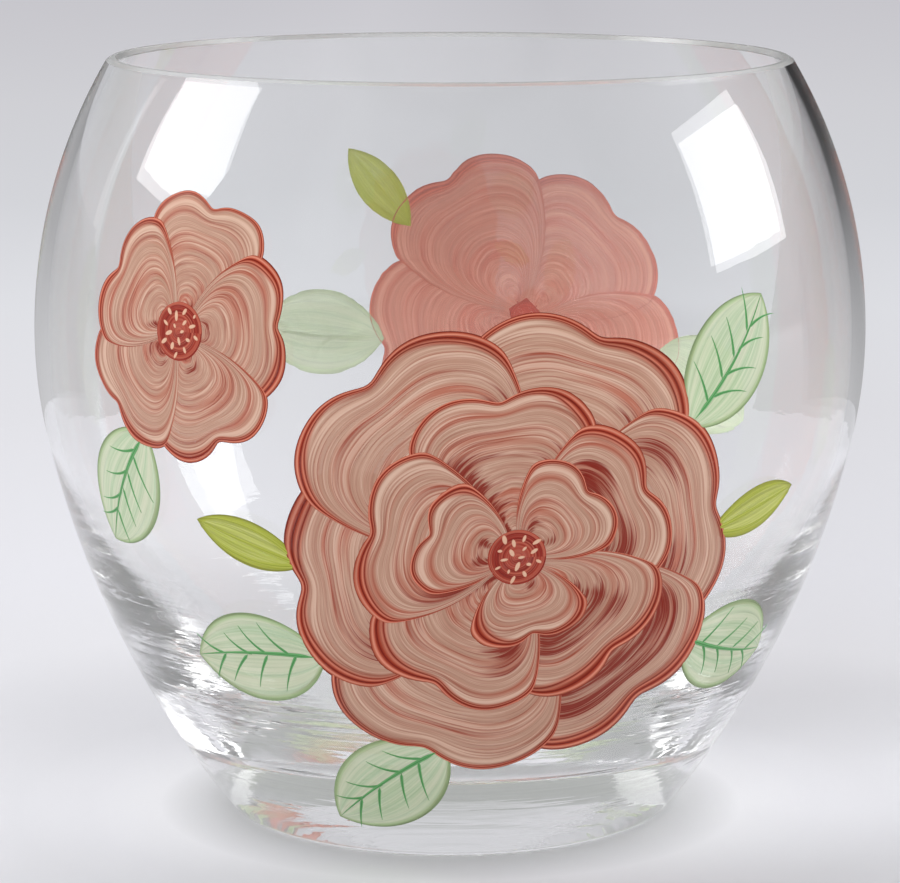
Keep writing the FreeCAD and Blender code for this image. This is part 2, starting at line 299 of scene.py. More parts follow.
def paintMaterial(name, paint):
    # streaked enamel: a body colour, a second one in bands, thin light lines on the raised crests that are
    # partly paler paint and partly a painted highlight, thin dark lines, and a loaded edge
    material, tree, shader = newMaterial(name, {"Specular IOR Level": coat["sheen"], "IOR": 1.5})
    tint = {key: srgb(*paint[key]) for key in ("body", "band", "light", "line", "deep", "undersideWithPaintedLight")}
    brush = useGroup(tree, brushMarks, dict(zip(("Fineness", "Wander", "Contrast"), paint["brush"])))
    shade = addNode(tree, "Attribute")
    shade.attribute_name = "strokeShade"
    under, loaded, fromEdge = addNode(tree, "SeparateColor", {0: shade.outputs["Color"]}).outputs
    # the second colour comes in bands, more of them toward the stroke's root
    rootward = offMiddle(tree, shade.outputs["Alpha"], -coat["rootPull"])
    bands = ramp(tree, total(tree, brush["Broad"], rootward), coat["bands"])
    colour = mixColour(tree, bands, tint["body"], tint["band"])
    # pale streaks on the brush's raised crests: partly paler paint, partly a painted highlight
    colour = mixColour(tree, ramp(tree, brush["Fine"], coat["paleStreaksAndCrestHighlights"]), colour, tint["light"])
    colour = mixColour(tree, brush["Thin Lines"], colour, tint["line"])
    colour = mixColour(tree, combedShare(tree, brush, under), colour, tint["deep"])
    # the loaded edge lies in a few lines side by side, which wander a little
    wobble = offMiddle(tree, brush["Broad"], coat["edgeWobble"])
    place = total(tree, fromEdge, product(tree, wobble, fromEdge))
    grain = ramp(tree, brush["Fine"], coat["edgeGrain"])
    # on petals the lightest edge lines fall on the raised ridges: partly paler paint, partly a painted
    # highlight
    edgeColour = mixColour(tree, 1.0, ramp(tree, place, inColour(paint["edge"])), grain, "MULTIPLY")
    edgeMask = product(tree, ramp(tree, place, coat["edge"]), loaded)
    colour = mixColour(tree, edgeMask, colour, edgeColour)
    # the underside, seen through the glass, is smoother and paler: partly the enamel's own face against the
    # glass, partly painted light standing in for the light that reaches it through the glass
    behind = product(tree, addNode(tree, "NewGeometry").outputs["Backfacing"], paint["undersideLightShare"])
    colour = mixColour(tree, behind, colour, tint["undersideWithPaintedLight"])
    cover = ramp(tree, brush["Fine"], list(zip(coat["coverPlaces"], paint["cover"])))
    cover = calculate(tree, "MAXIMUM", cover, product(tree, edgeMask, coat["edgeCover"]))
    rough = ramp(tree, brush["Fine"], coat["rough"])
    feed(tree, shader, {"Base Color": colour, "Roughness": rough, "Alpha": cover})
    addBump(tree, shader, brush["Depth"], paint["relief"], coat["relief"])
    return material


# the loaded edges, from the rim of a stroke inward; on petals the lightest lines lie on the raised ridges,
# partly paler paint and partly a painted highlight
petalEdgeWithRidgeHighlights = [
    (0.0, (104, 26, 14)), (0.05, (126, 32, 18)), (0.12, (188, 98, 72)), (0.21, (222, 144, 120)),
    (0.31, (180, 74, 50)), (0.39, (112, 16, 4)), (0.46, (158, 60, 38)), (0.56, (206, 124, 100)),
    (0.65, (120, 24, 8)), (0.73, (186, 100, 76)), (0.86, (158, 66, 44)), (1.0, (196, 148, 124)),
]
leafEdge = [(0.0, (126, 150, 104)), (0.35, (158, 182, 132)), (1.0, (196, 208, 170))]
budEdge = [(0.0, (134, 140, 40)), (0.6, (170, 178, 60)), (1.0, (186, 192, 84))]
paints = {
    "petalPaint": {
        "body": (192, 150, 128), "band": (188, 114, 92), "light": (230, 196, 174), "line": (142, 50, 28),
        "deep": (130, 20, 2), "edge": petalEdgeWithRidgeHighlights, "undersideWithPaintedLight": (250, 160, 146), "undersideLightShare": 0.46,
        "brush": (9.0, 0.7, 0.62), "relief": 1.0, "cover": (0.94, 1.0),
    },
    "leafPaint": {
        "body": (204, 211, 178), "band": (184, 208, 166), "light": (216, 221, 192), "line": (158, 188, 136),
        "deep": (186, 204, 150), "edge": leafEdge, "undersideWithPaintedLight": (226, 236, 206), "undersideLightShare": 0.6,
        "brush": (6.0, 1.0, 0.3), "relief": 0.5, "cover": (0.72, 0.9),
    },
    "veinPaint": {
        "body": (62, 134, 70), "band": (84, 158, 92), "light": (124, 188, 122), "line": (38, 98, 50),
        "deep": (60, 130, 70), "edge": leafEdge, "undersideWithPaintedLight": (150, 200, 150), "undersideLightShare": 0.6,
        "brush": (20.0, 0.2, 0.4), "relief": 0.5, "cover": (0.85, 0.98),
    },
    "budPaint": {
        "body": (176, 186, 62), "band": (190, 196, 96), "light": (204, 208, 120), "line": (140, 146, 40),
        "deep": (164, 150, 66), "edge": budEdge, "undersideWithPaintedLight": (206, 212, 110), "undersideLightShare": 0.6,
        "brush": (9.0, 0.5, 0.7), "relief": 0.8, "cover": (0.85, 0.97),
    },
    "sepalPaint": {
        "body": (146, 158, 44), "band": (166, 176, 60), "light": (196, 200, 96), "line": (110, 124, 36),
        "deep": (150, 160, 50), "edge": leafEdge, "undersideWithPaintedLight": (176, 186, 70), "undersideLightShare": 0.6,
        "brush": (20.0, 0.2, 0.4), "relief": 0.5, "cover": (0.9, 0.99),
    },
    "heartPaint": {
        "body": (168, 62, 46), "band": (150, 44, 34), "light": (200, 110, 88), "line": (118, 26, 22),
        "deep": (150, 44, 34), "edge": petalEdgeWithRidgeHighlights, "undersideWithPaintedLight": (214, 96, 84), "undersideLightShare": 0.6,
        "brush": (14.0, 0.5, 0.8), "relief": 0.9, "cover": (0.95, 0.99),
    },
    "stamenPaint": {
        "body": (224, 172, 142), "band": (214, 150, 120), "light": (232, 194, 166), "line": (190, 110, 84),
        "deep": (206, 140, 112), "edge": petalEdgeWithRidgeHighlights, "undersideWithPaintedLight": (240, 196, 170), "undersideLightShare": 0.6,
        "brush": (20.0, 0.2, 0.2), "relief": 0.4, "cover": (0.97, 1.0),
    },
}
materials = {name: paintMaterial(name, paint) for name, paint in paints.items()}
print("paints ready:", len(materials))


# the bowl's own sizes in millimetres, the same as the solid's, and the rows of its mesh
bowl = {
    "height": 160.0, "mouthRadius": 71.2, "bevelOut": 0.6, "bevelIn": 1.0,
    "radius": 87.3, "bellyLevel": 102.3, "bellyCurve": 98.0, "bellyDrop": 20.4,
    "footRadius": 46.4, "footRound": 5.0, "wallAtBelly": 2.8, "wallAtRim": 2.6,
    "floorLevel": 20.0, "floorRadius": 44.7, "floorRound": 9.0,
    "turns": 240, "outerRows": 75, "innerRows": 60, "footRows": 16, "floorRows": 10,
    "underRings": (8, 16, 24, 32, 38, 42), "floorRings": (36, 28, 20, 12, 6), "sharpAngle": 25,
}


def uprightArc(widest, end):
    # the arc that stands upright at its widest point and runs on to another point
    inset = widest[0] - end[0]
    rise = end[1] - widest[1]
    radius = (inset**2 + rise**2) / (2 * inset)
    return (widest[0] - radius, widest[1]), radius


def outerArcs():
    # shoulder, belly and flank, each with its centre, its radius and the level where it starts
    wide, belly, curve, drop = [bowl[key] for key in ("radius", "bellyLevel", "bellyCurve", "bellyDrop")]
    shoulderCentre, shoulderRadius = uprightArc((wide, belly), (bowl["mouthRadius"], bowl["height"]))
    bellyCentre = (wide - curve, belly)
    turn = (bellyCentre[0] + math.sqrt(curve**2 - drop**2), belly - drop)
    inward = Vector((bellyCentre[0] - turn[0], bellyCentre[1] - turn[1])).normalized()
    run = Vector((bowl["footRadius"] - turn[0], -turn[1]))
    flankRadius = run.dot(run) / (2 * run.dot(inward))
    flankCentre = (turn[0] + inward.x * flankRadius, turn[1] + inward.y * flankRadius)
    return [
        (shoulderCentre, shoulderRadius, belly),
        (bellyCentre, curve, turn[1]),
        (flankCentre, flankRadius, -1.0),
    ]


wallArcs = outerArcs()
innerWidest = (bowl["radius"] - bowl["wallAtBelly"], bowl["bellyLevel"])
throatArc = uprightArc(innerWidest, (bowl["mouthRadius"] - bowl["wallAtRim"], bowl["height"]))
cavityArc = uprightArc(innerWidest, (bowl["floorRadius"], bowl["floorLevel"]))


def outerRadius(level):
    # for one level or many
    level = np.asarray(level, float)
    radii = [
        centre[0] + np.sqrt(np.maximum(0.0, radius**2 - (level - centre[1]) ** 2))
        for centre, radius, _ in wallArcs
    ]
    return np.select([level >= low for _, _, low in wallArcs], radii, radii[-1])


def innerRadius(level):
    centre, radius = throatArc if level > bowl["bellyLevel"] else cavityArc
    return centre[0] + math.sqrt(max(0.0, radius**2 - (level - centre[1]) ** 2))


def roundCorner(radiusAt, level, radius, rows):
    # rounds the corner between a level face and the wall that starts there
    corner = radiusAt(level)
    slope = (radiusAt(level + 0.5) - corner) / 0.5
    lean = math.atan2(1.0, slope)
    centre = (corner - radius * math.tan(lean / 2), level + radius)
    angles = [lean * k / rows for k in range(rows + 1)]
    return [(centre[0] + radius * math.sin(angle), centre[1] - radius * math.cos(angle)) for angle in angles]


def wallRows(radiusAt, start, end, rows):
    # up or down a wall, without the row at its start
    levels = [start + (end - start) * k / rows for k in range(1, rows + 1)]
    return [(radiusAt(level), level) for level in levels]


def bowlProfile():
    # from the middle of the underside out, up the outside, over the rim and down to the middle of the floor
    top, floorLevel = bowl["height"], bowl["floorLevel"]
    path = [(0.0, 0.0)] + [(radius, 0.0) for radius in bowl["underRings"]]
    path += roundCorner(outerRadius, 0.0, bowl["footRound"], bowl["footRows"])
    path += wallRows(outerRadius, path[-1][1], top - bowl["bevelOut"], bowl["outerRows"])
    rimStart = len(path) - 1
    path.append((bowl["mouthRadius"] - bowl["bevelOut"], top))
    path.append((bowl["mouthRadius"] - bowl["wallAtRim"] + bowl["bevelIn"], top))
    innerTop = top - bowl["bevelIn"]
    floorCorner = roundCorner(innerRadius, floorLevel, bowl["floorRound"], bowl["floorRows"])
    path.append((innerRadius(innerTop), innerTop))
    path += wallRows(innerRadius, innerTop, floorCorner[-1][1], bowl["innerRows"])[:-1]
    path += floorCorner[::-1] + [(radius, floorLevel) for radius in bowl["floorRings"]] + [(0.0, floorLevel)]
    return path, rimStart


# slow rings and ripples left in the heavy base by the mould: their scales, and their strength by height
waves = {
    "rings": 320.0, "turns": 15.0, "lean": 0.8, "detail": 2.5, "relief": 0.00015,
    "strength": [(0.035, 0.03), (0.08, 0.8), (0.19, 1), (0.30, 0.3), (0.45, 0.06), (1.0, 0.03)],
    "wall": [(0.45, 0), (0.52, 1)], "wallReach": 0.1,
}


def waveGroup():
    starts = {"Ring Scale": waves["rings"], "Turn Scale": waves["turns"]}
    group, inside, outside = newGroup("glassWaves", starts, ["Height"])
    x, y, z = parts(group, addNode(group, "TexCoord").outputs["Object"])
    radius = calculate(group, "POWER", total(group, product(group, x, x), product(group, y, y)), 0.5)
    ring = total(group, z, product(group, radius, waves["lean"]))
    scales = (inside["Turn Scale"], inside["Turn Scale"], inside["Ring Scale"])
    spot = [product(group, value, scale) for value, scale in zip((x, y, ring), scales)]
    noise = noiseAt(group, spot, waves["detail"])
    strength = ramp(group, calculate(group, "DIVIDE", z, bowl["height"] * mm), waves["strength"])
    # the floor's two faces are smooth
    wall = ramp(group, calculate(group, "DIVIDE", radius, waves["wallReach"]), waves["wall"])
    feed(group, outside, {"Height": product(group, noise, product(group, strength, wall))})
    return group


def glassMaterial():
    tint = (0.984, 0.987, 0.986, 1)
    material, tree, shader = newMaterial(
        "clearGlass", {"Base Color": tint, "Roughness": 0.0, "IOR": 1.5, "Transmission Weight": 1.0}
    )
    addBump(tree, shader, useGroup(tree, waveGroup())["Height"], 1.0, waves["relief"])
    # lamps shine through to the paint and the table
    shadow = addNode(tree, "LightPath").outputs["Is Shadow Ray"]
    showWhere(tree, shader, calculate(tree, "SUBTRACT", 1.0, shadow))
    return material


def rimMaterial():
    # the rim's ground and polished facets, a little satin
    tint = srgb(214, 215, 214)
    return newMaterial(
        "groundRim", {"Base Color": tint, "Roughness": 0.25, "IOR": 1.5, "Transmission Weight": 0.5}
    )[0]


def makeBowl():
    path, rimStart = bowlProfile()
    turns = bowl["turns"]
    vertices, faces, kinds, rows = [], [], [], []
    for radius, level in path:
        count = turns if radius > 1e-6 else 1
        rows.append([len(vertices) + k % count for k in range(turns)])
        for k in range(count):
            angle = 2 * math.pi * k / turns
            vertices.append((radius * math.cos(angle) * mm, radius * math.sin(angle) * mm, level * mm))
    for number, (low, high) in enumerate(zip(rows, rows[1:])):
        # the two bevels and the flat between them are the rim
        kinds += [int(rimStart <= number < rimStart + 3)] * turns
        for k in range(turns):
            n = (k + 1) % turns
            # at the two poles the repeated corner falls away
            faces.append(tuple(dict.fromkeys((low[k], low[n], high[n], high[k]))))
    piece = linked("glassBowl", vertices, faces)
    piece.data.set_sharp_from_angle(angle=math.radians(bowl["sharpAngle"]))
    piece.data.materials.append(glassMaterial())
    piece.data.materials.append(rimMaterial())
    piece.data.polygons.foreach_set("material_index", kinds)
    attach(piece, "root")
    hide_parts("glass_bowl")
    print("bowl ready:", len(faces), "faces")


makeBowl()


# the painted sprays, in millimetres and degrees: where each bloom sits, its petals, its leaves and its buds
spray = {
    "lift": 0.045, "layerStep": 0.011, "thinnest": 0.008, "hiddenHeight": (0.004, 0.06),
    "unevenness": 0.05, "phase": 137.5, "heartRadius": 6.0, "overlap": 3.0,
}
# a petal's outline passes through these points, in shares of its half width and its reach
petalShape = {"root": (0.16, 0.10), "flank": (0.68, 0.36), "shoulder": (1.0, 0.72), "lobe": (0.68, 0.96)}
# how a petal is swept: its rows and columns, how its brush is pressed, and the ridges at its edge
sweep = {
    "notch": 2.0, "softness": 1.6, "waves": (2, 3, 5, 8), "inset": (0.5, 0.45), "columns": 140,
    "edgeBand": 5.0, "edgeRows": 20, "rowStep": 1.2, "leastRows": 10, "rootShare": 0.02,
    "pressed": (0.34, 1.15), "patches": (0.3, 1.3), "spread": (0.14, 0.26), "rounding": (0.4, 34),
    "ridges": [(0.22, 0.10, 1.0), (0.56, 0.08, 0.7)], "ridgeHeight": 0.05,
}
# each ring: its petals' name and count, reach and breadth, the first one's direction, and the hidden share
blooms = {
    "large_bloom": {
        "side": 0, "across": 13.7, "level": 70.0, "reach": 45.0, "edgeWidth": 4.2, "depth": 1.0,
        "rings": [
            ("outer_petal", 6, 1.0, 1.07, 20, 0.71),
            ("middle_petal", 5, 0.71, 1.16, 352, 0.62),
            ("inner_petal", 3, 0.44, 1.25, 46, 0.34),
        ],
    },
    "small_bloom": {
        "side": 0, "across": -56.4, "level": 112.0, "reach": 25.0, "edgeWidth": 2.9, "depth": 0.72,
        "rings": [("petal", 5, 1.0, 1.16, 12, 0.28)],
    },
    "back_bloom": {
        "side": 180, "across": -18.3, "level": 92.0, "reach": 37.0, "edgeWidth": 3.6, "depth": 0.7,
        "rings": [("petal", 5, 1.0, 1.07, 30, 0.22)],
    },
}
# each leaf or bud: its bloom, the direction of its base from there, and the direction in which it points
leaves = {
    "leaf_low": ("large_bloom", 192, 232),
    "leaf_low_right": ("large_bloom", 120, 104),
    "leaf_right": ("large_bloom", 56, 38),
    "leaf_left": ("large_bloom", 238, 264),
    "leaf_top_left": ("small_bloom", 204, 216),
    "leaf_back_left": ("back_bloom", 98, 82),
    "leaf_back_right": ("back_bloom", 262, 246),
    "leaf_back_low": ("back_bloom", 158, 176),
}
buds = {
    "bud_right": ("large_bloom", 88, 74),
    "bud_left": ("large_bloom", 266, 288),
    "bud_back": ("back_bloom", 52, 40),
}


def bloomTurn(bloom):
    return bloom["side"] + math.degrees(bloom["across"] / bowl["radius"])


def onWall(turn, level, flat):
    # points drawn flat in front of the bowl (across, up, height), carried straight back onto it
    angle = math.radians(turn)
    across, up, height = flat[:, 0], flat[:, 1], flat[:, 2]
    at = level + up
    slope = outerRadius(at + 0.5) - outerRadius(at - 0.5)
    radius = outerRadius(at)
    grown = 1 + height / np.sqrt(1 + slope * slope) / radius
    out = np.sqrt(np.maximum(0.0, radius**2 - across**2)) * grown
    across = across * grown
    z = at - height * slope / np.sqrt(1 + slope * slope)
    x = across * math.cos(angle) + out * math.sin(angle)
    y = across * math.sin(angle) - out * math.cos(angle)
    return np.stack([x, y, z], 1) * mm


def turned(x, y, direction):
    # clockwise by a direction, seen from outside
    angle = math.radians(direction)
    return (x * math.cos(angle) + y * math.sin(angle), -x * math.sin(angle) + y * math.cos(angle))


def hiddenShare(places, covers):
    # how far under later paint each point lies, from 0 in the open to 1
    hidden = np.zeros(len(places))
    for cover in covers:
        angle = math.radians(cover["turn"])
        front = places[:, 0] * math.sin(angle) - places[:, 1] * math.cos(angle)
        across = (places[:, 0] * math.cos(angle) + places[:, 1] * math.sin(angle)) / mm
        up = places[:, 2] / mm - cover["level"]
        x, y = turned(across, up, -cover["direction"])
        x, y = x - cover["pivot"][0], y - cover["pivot"][1]
        edge = np.interp(np.arctan2(x, y), cover["angles"], cover["edge"], left=0, right=0)
        depth = np.where(front > 0, edge - np.hypot(x, y), -1.0)
        hidden = np.maximum(hidden, smoothStep(0.15, 0.95, depth))
    return hidden


def strokePiece(name, sheets, turn, level, paintNames, slot, covers=()):
    # a sheet is a grid of (across, up, height), its texture place, its shades, and the number of its paint
    points, uvs, tones, faces, kinds = [], [], [], [], []
    start = 0
    for grid, places, shades, kind in sheets:
        grid = np.asarray(grid, float)
        rows, columns = grid.shape[:2]
        points.append(grid.reshape(-1, 3))
        uvs.append(np.asarray(places, float).reshape(-1, 2))
        tones.append(np.asarray(shades, float).reshape(-1, 4))
        # faces run anticlockwise as seen from outside, so that their fronts look away from the glass
        down, right = grid[1:, :-1, :2] - grid[:-1, :-1, :2], grid[:-1, 1:, :2] - grid[:-1, :-1, :2]
        outward = np.sum(right[..., 0] * down[..., 1] - right[..., 1] * down[..., 0]) > 0
        index = start + np.arange(rows * columns).reshape(rows, columns)
        quads = np.stack([index[:-1, :-1], index[:-1, 1:], index[1:, 1:], index[1:, :-1]], 2).reshape(-1, 4)
        faces += (quads if outward else quads[:, ::-1]).tolist()
        kinds += [kind] * ((rows - 1) * (columns - 1))
        start += rows * columns
    points, uvs, tones = np.concatenate(points), np.concatenate(uvs), np.concatenate(tones)
    if covers:
        # paint under a later stroke lies close to the glass
        hidden = hiddenShare(onWall(turn, level, points), covers)
        least, share = spray["hiddenHeight"]
        points[:, 2] += (least + points[:, 2] * share - points[:, 2]) * hidden
    piece = linked(name, onWall(turn, level, points).tolist(), faces)
    mesh = piece.data
    corners = np.zeros(len(mesh.loops), int)
    mesh.loops.foreach_get("vertex_index", corners)
    mesh.uv_layers.new(name="strokePlace").data.foreach_set("uv", uvs[corners].ravel())
    mesh.color_attributes.new("strokeShade", "FLOAT_COLOR", "POINT").data.foreach_set("color", tones.ravel())
    for paintName in paintNames:
        mesh.materials.append(materials[paintName])
    mesh.polygons.foreach_set("material_index", kinds)
    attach(piece, "root")
    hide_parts(name.replace("painted_", ""))


def softened(path, spread):
    # the same path with its corners rounded; its two ends stay where they are
    reach = int(spread * 3) + 1
    weights = np.exp(-0.5 * (np.arange(-reach, reach + 1) / spread) ** 2)
    before = 2 * path[0] - path[reach:0:-1]
    after = 2 * path[-1] - path[-2:-reach - 2:-1]
    longer = np.concatenate([before, path, after])
    return np.stack([np.convolve(longer[:, k], weights / weights.sum(), "valid") for k in (0, 1)], 1)


def petalOutline(reach, width, rng):
    columns = sweep["columns"]
    root, flank, shoulder, lobe = [(width / 2 * a, reach * b) for a, b in petalShape.values()]
    notch = (0.0, reach - sweep["notch"])
    right = np.concatenate([arcPoints(root, flank, shoulder, 30)[:-1], arcPoints(shoulder, lobe, notch, 40)])
    outline, length = evenly(np.concatenate([right * (-1, 1), right[::-1][1:]]), columns)
    outline = softened(outline, sweep["softness"])
    pivot = np.array([0.0, root[1]])
    along = np.linspace(0, 1, columns + 1)
    wave = np.zeros(columns + 1)
    for rate in sweep["waves"]:
        wave += rng.uniform(0.1, 0.3) * np.sin(rate * 2 * np.pi * along + rng.uniform(0, 6.28))
    least, swing = sweep["inset"]
    inset = 1 - (least + swing * wave) * np.sqrt(np.sin(np.pi * np.clip(along, 0.001, 0.999))) / reach
    return pivot, pivot + (outline - pivot) * inset[:, None], length


def swelling(rng, least, most):
    # a slow rise and fall along the stroke, as the brush is pressed and eased
    along = np.linspace(0, 1, sweep["columns"] + 1)
    made = np.full(len(along), least)
    for low, high in ((0.12, 0.42), (0.55, 0.88)):
        middle, spread = rng.uniform(low, high), rng.uniform(0.09, 0.2)
        made += rng.uniform(0.45, 1.0) * (most - least) * np.exp(-(((along - middle) / spread) ** 2))
    return made


def petalSheet(petal, lift, bloom):
    # the brush turns about the petal's root: each column is a spoke, each row a loop of bristle marks
    pivot, reach, rng, least = petal["pivot"], petal["reach"], petal["rng"], spray["thinnest"]
    along = np.linspace(0, 1, sweep["columns"] + 1)
    inner = 1 - sweep["edgeBand"] / reach
    shares = [1 - (1 - inner) * k / sweep["edgeRows"] for k in range(sweep["edgeRows"] + 1)]
    steps = max(sweep["leastRows"], round(reach * inner / sweep["rowStep"]))
    shares += [inner * (1 - k / steps) + sweep["rootShare"] * k / steps for k in range(1, steps + 1)]
    pressed = swelling(rng, *sweep["pressed"])
    patches = np.clip(swelling(rng, *sweep["patches"]), 0, 1)
    spread = sweep["spread"][0] + sweep["spread"][1] * swelling(rng, 0.1, 1.0)
    ends = smoothStep(0.015, 0.12, along) * smoothStep(0.985, 0.88, along)
    start = rng.uniform(0, 40)
    grid, places, shades = [], [], []
    for share in shares:
        fromEdge = (1 - share) * reach
        path = softened(petal["outline"], sweep["rounding"][0] + sweep["rounding"][1] * (1 - share))
        across, up = turned(*(pivot + (path - pivot) * share).T, petal["direction"])
        place = fromEdge / (bloom["edgeWidth"] * pressed)
        ridge = sum(high * np.exp(-(((place - at) / wide) ** 2)) for at, wide, high in sweep["ridges"])
        body = smoothStep(0, 0.4, fromEdge)
        height = least + (lift - least) * body + sweep["ridgeHeight"] * ridge * ends * body
        under = smoothStep(petal["hidden"] + spread, petal["hidden"], share) * patches * bloom["depth"]
        grid.append(np.stack([across, up, height], 1))
        places.append(np.stack([(start + along * petal["length"]) / 10, fromEdge / 10 + 0 * along], 1))
        shades.append(np.stack([under, ends, np.clip(place, 0, 1), share + 0 * along], 1))
    return grid, places, shades, 0


def bloomPetals(name, bloom):
    # from the outermost ring in; each petal lies over those before it
    made = []
    for ring, count, share, breadth, first, hidden in bloom["rings"]:
        reach = bloom["reach"] * share
        for k in range(count):
            swell = 1 + spray["unevenness"] * math.cos(math.radians(spray["phase"]) * k)
            rng = random.Random(f"{name}{ring}{k}")
            pivot, outline, length = petalOutline(reach * swell, reach * breadth, rng)
            # the area that it hides: its edge's distance from its root, by direction
            x, y = (outline - pivot).T
            made.append({
                "piece": f"painted_{name}_{ring}_{k + 1}", "hidden": hidden, "rng": rng,
                "turn": bloomTurn(bloom), "level": bloom["level"], "direction": first + 360 * k / count,
                "reach": reach * swell, "pivot": pivot, "outline": outline, "length": length,
                "angles": np.unwrap(np.arctan2(x, y)), "edge": np.hypot(x, y),
            })
    return made


def makeBloom(name, bloom):
    turn, level = bloomTurn(bloom), bloom["level"]
    petals = bloomPetals(name, bloom)
    heart = {
        "turn": turn, "level": level, "pivot": (0, 0), "direction": 0,
        "angles": np.linspace(-math.pi, math.pi, 60), "edge": np.full(60, spray["heartRadius"] - 0.3),
    }
    for k, petal in enumerate(petals):
        sheet = petalSheet(petal, spray["lift"] + spray["layerStep"] * k, bloom)
        later = petals[k + 1:] + [heart]
        strokePiece(petal["piece"], [sheet], turn, level, ["petalPaint"], "petal_paint", later)
    makeHeart(name, turn, level, spray["lift"] + spray["layerStep"] * len(petals))
    print(name, "ready:", len(petals), "petals")
    return petals


def sheetOf(rows, columns, spotAt):
    # spotAt gives the point, the texture place and the shades at each row and column
    made = [[spotAt(r, k) for k in range(columns + 1)] for r in range(rows + 1)]
    return [[[spot[n] for spot in row] for row in made] for n in range(3)]


def dab(centre, radius, lift, height, stretch=1.0, direction=0.0, rows=5, columns=16):
    # a small raised dot or drop of paint
    def spotAt(r, k):
        share = 1 - r / rows
        angle = 2 * math.pi * k / columns
        x, y = turned(radius * share * math.cos(angle), radius * stretch * share * math.sin(angle), direction)
        point = (centre[0] + x, centre[1] + y, lift + height * math.sqrt(max(0.0, 1 - share**2)))
        return point, (k / columns * radius * 0.6, (1 - share) * radius / 10), (0.0, 0.0, 1.0, 0.5)

    return sheetOf(rows, columns, spotAt)


stamens = {"count": 17, "turn": 2.399963, "size": (0.26, 0.46), "stretch": (1.4, 2.6), "sway": 25}


def makeHeart(name, turn, level, lift):
    rng = random.Random(name)
    radius = spray["heartRadius"]
    sheets = [(*dab((0, 0), radius - 0.3, lift - 0.012, 0.03, rows=10, columns=48), 0)]
    for k in range(stamens["count"]):
        angle, distance = k * stamens["turn"], (radius - 1.1) * math.sqrt((k + 0.5) / stamens["count"])
        centre = (distance * math.cos(angle), distance * math.sin(angle))
        size, stretch = rng.uniform(*stamens["size"]), rng.uniform(*stamens["stretch"])
        lean = rng.uniform(-stamens["sway"], stamens["sway"]) - math.degrees(angle) + 90
        sheets.append((*dab(centre, size, lift + 0.008, 0.055, stretch, lean), 1))
    strokePiece(f"painted_{name}_heart", sheets, turn, level, ["heartPaint", "stamenPaint"], "heart_paint")


# leaf and bud blades: how much of the outline they fill, and the bead of paint along their edge
blades = {"fill": 0.97, "lift": 0.04, "bead": 0.03, "beadPlace": 0.8, "beadWidth": 0.4, "edgeWidth": 1.6}


def blade(length, width, direction, seed, rows=26, columns=56):
    # a dab pulled from its base to its tip: rows run across it, columns along it
    start = random.Random(seed).uniform(0, 30)
    side = arcPoints((0, -length / 2), (width / 2, 0), (0, length / 2), columns)
    thinnest, fill = spray["thinnest"], blades["fill"]

    def spotAt(r, k):
        share, along = 1 - 2 * r / rows, k / columns
        x, y = side[k]
        fromEdge = abs(x) * (1 - abs(share))
        bead = blades["bead"] * math.exp(-((fromEdge - blades["beadPlace"]) / blades["beadWidth"]) ** 2)
        height = thinnest + (blades["lift"] - thinnest) * smoothStep(0, 0.3, fromEdge) + bead
        place = ((start + along * length) / 10, (1 - share) * width / 20)
        shades = (0.0, 1.0, min(1.0, fromEdge / blades["edgeWidth"]), along)
        return (*turned(x * share * fill, y * fill, direction), height), place, shades

    return sheetOf(rows, columns, spotAt)


def paintLine(points, width, height, direction, lift=0.05, rows=6, columns=26):
    # a thin raised line of paint along three points, wide at its start and drawn out to nothing
    path, length = evenly(arcPoints(*points, 40), columns)

    def spotAt(r, k):
        share, along = 1 - 2 * r / rows, k / columns
        (ax, ay), (bx, by) = path[max(0, k - 1)], path[min(columns, k + 1)]
        run = max(1e-6, math.hypot(bx - ax, by - ay))
        half = width / 2 * (smoothStep(0, 0.12, along) * (1 - along) ** 0.7 + 0.04)
        x, y = path[k]
        x, y = x - (by - ay) / run * half * share, y + (bx - ax) / run * half * share
        point = (*turned(x, y, direction), lift + height * math.sqrt(max(0.0, 1 - share * share)))
        return point, (along * length / 10, share * width / 20), (0.0, 0.0, 1.0, along)

    return sheetOf(rows, columns, spotAt)


def leafLines(name, length, width):
    # a middle vein and four pairs that leave it, each with its width and height
    rng = random.Random(name + "veins")
    made = [([(0, -length * 0.42), (width * 0.05, 0), (0, length * 0.47)], 1.0, 0.09)]
    for k in range(4):
        at = -length * 0.28 + k * length * 0.17
        for hand in (-1, 1):
            reach = width * (0.40 - 0.045 * k) * rng.uniform(0.8, 1.0)
            rise = length * rng.uniform(0.14, 0.2)
            start = (width * 0.03, at + rng.uniform(-1, 1))
            middle = (hand * reach * 0.5, start[1] + rise * 0.62)
            made.append(([start, middle, (hand * reach, start[1] + rise)], 0.7, 0.07))
    return made


def budLines(name, length, width):
    # three sepals that open a little toward the tip
    ends = [(0, -length * 0.46), (width * 0.33, -length * 0.02), (width * 0.1, length * 0.44)]
    return [([(hand * x, y) for x, y in ends], 1.1, 0.08) for hand in (-1, 0, 1)]


sprigs = {
    "leaf": {
        "length": 32.0, "width": 20.0, "lines": leafLines,
        "paints": ["leafPaint", "veinPaint"], "slot": "leaf_paint",
    },
    "bud": {
        "length": 25.0, "width": 10.0, "lines": budLines,
        "paints": ["budPaint", "sepalPaint"], "slot": "bud_paint",
    },
}


